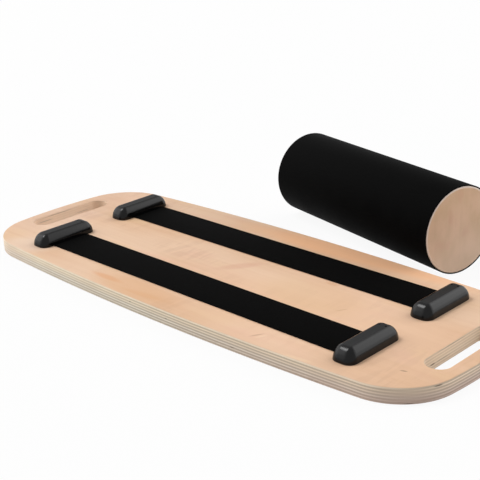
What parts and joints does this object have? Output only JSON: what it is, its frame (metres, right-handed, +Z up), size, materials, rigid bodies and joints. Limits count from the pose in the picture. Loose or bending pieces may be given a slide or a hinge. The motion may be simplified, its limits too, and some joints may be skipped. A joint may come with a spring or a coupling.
{
  "type": "roller balance board",
  "caption": "Plywood balance board lying underside up, with rubber stoppers, grip strips and hand slots, and the loose rubber-covered roller that it rocks on.",
  "frame": {"origin": "middle of the deck's standing face, which lies on the floor", "axes": "+X along the deck, +Y across the deck towards the roller, +Z up"},
  "size_m": [0.7, 0.4471, 0.11],
  "materials": {
    "deck_plywood": "satin lacquered birch or beech plywood with bare layered edges",
    "grip_rubber": "matte black",
    "stopper_rubber": "satin charcoal black, moulded",
    "insert_brass": "turned",
    "screw_steel": "zinc plated",
    "sleeve_rubber": "matte black",
    "tube_plastic": "plain extruded tube",
    "cap_wood": "sanded, dull"
  },
  "bodies": {
    "board": {"deck": "deck_plywood", "grip_strip_near": "grip_rubber", "grip_strip_far": "grip_rubber", "stopper_left_near": "stopper_rubber", "stopper_left_far": "stopper_rubber", "stopper_right_near": "stopper_rubber", "stopper_right_far": "stopper_rubber", "insert_left_near_inner": "insert_brass", "insert_left_near_outer": "insert_brass", "insert_left_far_inner": "insert_brass", "insert_left_far_outer": "insert_brass", "insert_right_near_inner": "insert_brass", "insert_right_near_outer": "insert_brass", "insert_right_far_inner": "insert_brass", "insert_right_far_outer": "insert_brass", "screw_left_near_inner": "screw_steel", "screw_left_near_outer": "screw_steel", "screw_left_far_inner": "screw_steel", "screw_left_far_outer": "screw_steel", "screw_right_near_inner": "screw_steel", "screw_right_near_outer": "screw_steel", "screw_right_far_inner": "screw_steel", "screw_right_far_outer": "screw_steel"},
    "roller": {"roller_sleeve": "sleeve_rubber", "roller_tube": "tube_plastic", "roller_cap_left": "cap_wood", "roller_cap_right": "cap_wood"}
  },
  "joints": [
    {"name": "roller_spin", "type": "hinge", "parent": "board", "child": "roller", "pos_m": [0.0428, 0.22334, 0.055], "axis": [0.9746, -0.2238, 0], "continuous": true}
  ]
}
